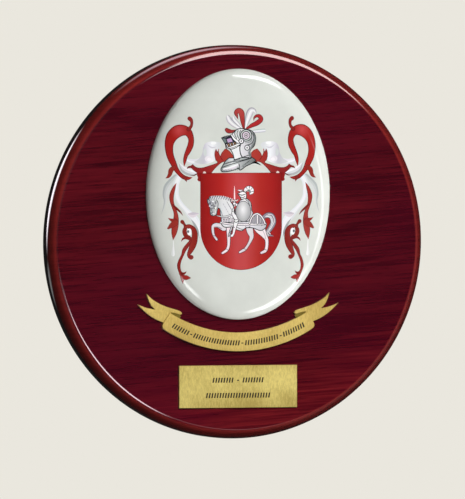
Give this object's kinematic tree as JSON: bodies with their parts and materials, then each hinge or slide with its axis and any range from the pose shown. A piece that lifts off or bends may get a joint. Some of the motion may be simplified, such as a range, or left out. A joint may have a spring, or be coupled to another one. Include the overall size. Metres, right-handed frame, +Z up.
{
  "type": "round wall plaque with an oval crest medallion",
  "caption": "Round lacquered wooden wall plaque with a domed oval glazed medallion bearing a printed crest, a folded brass scroll below it and a brass nameplate.",
  "frame": {"origin": "centre of the board's flat back face, where the plaque meets the wall", "axes": "+Z up, +Y into the wall, so the plaque's front faces -Y; +X to the right of someone who looks at it"},
  "size_m": [0.25, 0.0227, 0.25],
  "materials": {
    "rosewood_lacquer": "dark red rosewood under a high gloss lacquer, side and back painted brown black",
    "white_glaze": "glossy white glaze with a printed crest in red, white and grey",
    "scroll_brass": "pale satin brass, engraved",
    "nameplate_brass": "brushed brass with a mottled tone, engraved"
  },
  "bodies": {
    "root": {"board": "rosewood_lacquer", "medallion": "white_glaze", "scroll": "scroll_brass", "nameplate": "nameplate_brass"}
  },
  "joints": []
}
